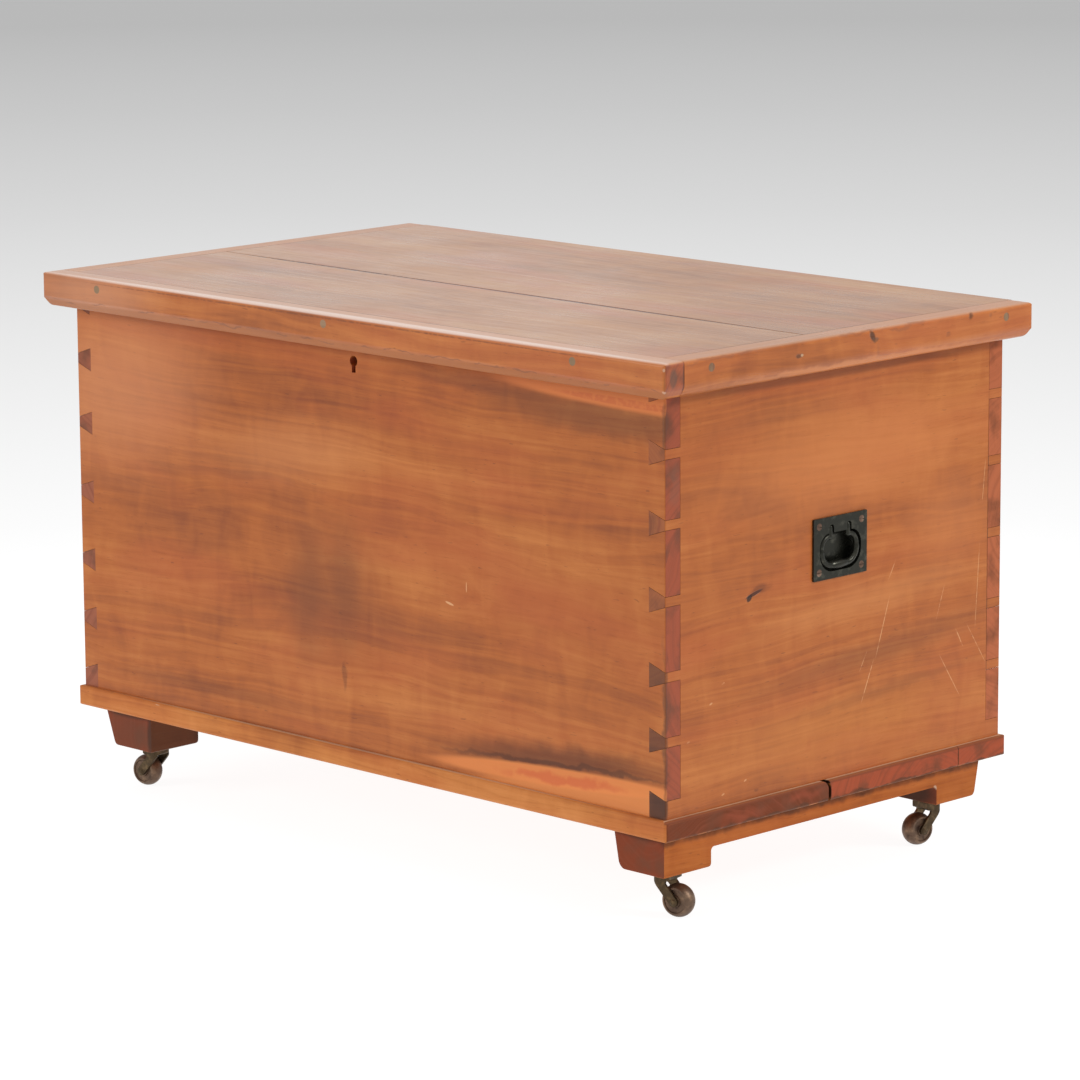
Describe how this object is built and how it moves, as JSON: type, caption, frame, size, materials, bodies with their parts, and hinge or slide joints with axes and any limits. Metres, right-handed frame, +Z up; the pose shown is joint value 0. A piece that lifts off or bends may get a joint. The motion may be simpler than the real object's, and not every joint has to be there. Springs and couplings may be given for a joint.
{
  "type": "blanket chest",
  "caption": "Dovetailed wooden blanket chest with hinged lipped lid, lock, flush drop handles and swivel castors under low bearers.",
  "frame": {"origin": "on the floor below the centre of the lid", "axes": "+X to the right seen from the front, along the length; +Y to the back; +Z up"},
  "size_m": [1.056, 0.626, 0.648],
  "materials": {
    "carcase_wood": "warm orange-brown boards, waxed, with dark heartwood and pale sapwood streaks",
    "bottom_wood": "warm brown board edges, waxed",
    "bearer_wood": "warm brown, sawn and worn",
    "lid_wood": "warm brown boards, waxed and worn",
    "lipping_wood": "warm orange-brown, waxed, rounded by wear",
    "plug_wood": "darker round plugs, flush",
    "handle_iron": "blackened iron, polished by hands",
    "screw_brass": "tarnished countersunk screws",
    "hinge_iron": "dull old iron",
    "lock_iron": "dull old iron",
    "fixing_steel": "dull, slightly rusted",
    "castor_bronze": "dark brown patina, brighter on the edges",
    "castor_wheel_bronze": "dark brown patina, worn bright on the tread"
  },
  "bodies": {
    "chest": {"bearer_foot_screws": "fixing_steel", "bearer_left": "bearer_wood", "bearer_rail_screws": "fixing_steel", "bearer_right": "bearer_wood", "bottom_board_front": "bottom_wood", "bottom_board_middle": "bottom_wood", "bottom_board_rear": "bottom_wood", "bottom_nails": "fixing_steel", "castor_pintle_front_left": "castor_bronze", "castor_pintle_front_right": "castor_bronze", "castor_pintle_rear_left": "castor_bronze", "castor_pintle_rear_right": "castor_bronze", "front_board": "carcase_wood", "handle_plate_left": "handle_iron", "handle_plate_right": "handle_iron", "handle_screws": "screw_brass", "hinge_leaf_rear_left": "hinge_iron", "hinge_leaf_rear_right": "hinge_iron", "hinge_pins": "hinge_iron", "hinge_screws_rear": "fixing_steel", "lock_cap": "lock_iron", "lock_case": "lock_iron", "lock_screws": "fixing_steel", "rear_board": "carcase_wood", "side_board_left": "carcase_wood", "side_board_right": "carcase_wood"},
    "lid": {"hinge_leaf_lid_left": "hinge_iron", "hinge_leaf_lid_right": "hinge_iron", "hinge_screws_lid": "fixing_steel", "lid_board_front": "lid_wood", "lid_board_rear": "lid_wood", "lid_lipping_front": "lipping_wood", "lid_lipping_left": "lipping_wood", "lid_lipping_right": "lipping_wood", "link_plate_screws": "fixing_steel", "lipping_plugs": "plug_wood", "lipping_screws": "fixing_steel", "lock_link_plate": "lock_iron"},
    "lock_bolt": {"lock_bolt": "lock_iron"},
    "bail_left": {"handle_bail_left": "handle_iron"},
    "bail_right": {"handle_bail_right": "handle_iron"},
    "castor_front_left": {"castor_horn_front_left": "castor_bronze", "castor_axle_front_left": "castor_bronze"},
    "wheel_front_left": {"castor_wheel_front_left": "castor_wheel_bronze"},
    "castor_front_right": {"castor_horn_front_right": "castor_bronze", "castor_axle_front_right": "castor_bronze"},
    "wheel_front_right": {"castor_wheel_front_right": "castor_wheel_bronze"},
    "castor_rear_left": {"castor_horn_rear_left": "castor_bronze", "castor_axle_rear_left": "castor_bronze"},
    "wheel_rear_left": {"castor_wheel_rear_left": "castor_wheel_bronze"},
    "castor_rear_right": {"castor_horn_rear_right": "castor_bronze", "castor_axle_rear_right": "castor_bronze"},
    "wheel_rear_right": {"castor_wheel_rear_right": "castor_wheel_bronze"}
  },
  "joints": [
    {"name": "lid_hinge", "type": "hinge", "parent": "chest", "child": "lid", "pos_m": [0, 0.2975, 0.627], "axis": [-1, 0, 0], "range_deg": [0, 105]},
    {"name": "lock_bolt_throw", "type": "slide", "parent": "chest", "child": "lock_bolt", "axis": [1, 0, 0], "range_m": [0, 0.008]},
    {"name": "bail_left_swing", "type": "hinge", "parent": "chest", "child": "bail_left", "pos_m": [-0.499, 0.005, 0.4208], "axis": [0, 1, 0], "range_deg": [0, 90]},
    {"name": "bail_right_swing", "type": "hinge", "parent": "chest", "child": "bail_right", "pos_m": [0.499, 0.005, 0.4208], "axis": [0, -1, 0], "range_deg": [0, 90]},
    {"name": "castor_swivel_front_left", "type": "hinge", "parent": "chest", "child": "castor_front_left", "pos_m": [-0.425, -0.232, 0.057], "axis": [0, 0, 1], "continuous": true},
    {"name": "wheel_spin_front_left", "type": "hinge", "parent": "castor_front_left", "child": "wheel_front_left", "pos_m": [-0.44088, -0.23395, 0.0195], "axis": [0.1219, -0.9925, 0], "continuous": true},
    {"name": "castor_swivel_front_right", "type": "hinge", "parent": "chest", "child": "castor_front_right", "pos_m": [0.45325, -0.232, 0.057], "axis": [0, 0, 1], "continuous": true},
    {"name": "wheel_spin_front_right", "type": "hinge", "parent": "castor_front_right", "child": "wheel_front_right", "pos_m": [0.4689, -0.22867, 0.0195], "axis": [-0.2079, 0.9781, 0], "continuous": true},
    {"name": "castor_swivel_rear_left", "type": "hinge", "parent": "chest", "child": "castor_rear_left", "pos_m": [-0.425, 0.219, 0.057], "axis": [0, 0, 1], "continuous": true},
    {"name": "wheel_spin_rear_left", "type": "hinge", "parent": "castor_rear_left", "child": "wheel_rear_left", "pos_m": [-0.41114, 0.227, 0.0195], "axis": [-0.5, 0.866, 0], "continuous": true},
    {"name": "castor_swivel_rear_right", "type": "hinge", "parent": "chest", "child": "castor_rear_right", "pos_m": [0.45325, 0.219, 0.057], "axis": [0, 0, 1], "continuous": true},
    {"name": "wheel_spin_rear_right", "type": "hinge", "parent": "castor_rear_right", "child": "wheel_rear_right", "pos_m": [0.45102, 0.20316, 0.0195], "axis": [0.9903, -0.1392, 0], "continuous": true}
  ]
}
